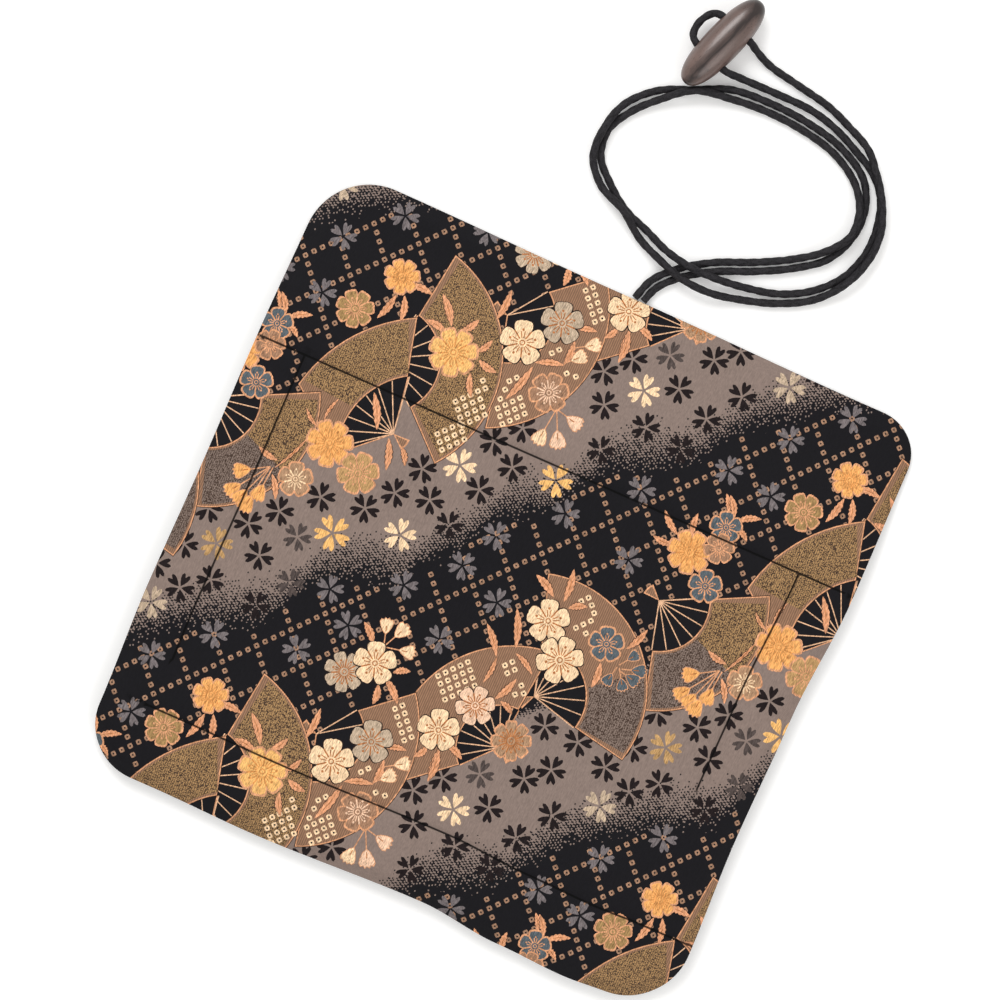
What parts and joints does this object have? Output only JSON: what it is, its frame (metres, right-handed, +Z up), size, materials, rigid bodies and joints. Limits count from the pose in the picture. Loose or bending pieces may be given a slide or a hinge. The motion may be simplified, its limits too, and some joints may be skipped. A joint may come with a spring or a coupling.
{
  "type": "pen roll",
  "caption": "Padded cloth roll with sewn slots for pens on its inside, tied by a doubled braided cord with a wooden toggle.",
  "frame": {"origin": "on the table under the middle of the opened-out cloth, without its cord", "axes": "+Z up, out of the brocade side; +Y towards the edge that the tie cord leaves; +X along that edge, out of the mouths of the pen slots"},
  "size_m": [0.243, 0.3622, 0.014],
  "materials": {
    "brocade": "woven brocade, satin black and taupe ground with metallic gold, orange and cream motifs",
    "wadding": "soft white fleece interlining",
    "lining_cloth": "matt black plain-weave cotton",
    "pocket_cloth": "matt charcoal plain-weave cotton",
    "toggle_wood": "dark brown turned wood, polished",
    "cord": "braided black cotton cord, matt"
  },
  "bodies": {
    "root": {"outer_shell": "brocade", "padding": "wadding", "lining": "lining_cloth", "pocket_panel": "pocket_cloth", "cover_flap": "pocket_cloth", "toggle": "toggle_wood", "cord": "cord"}
  },
  "joints": []
}
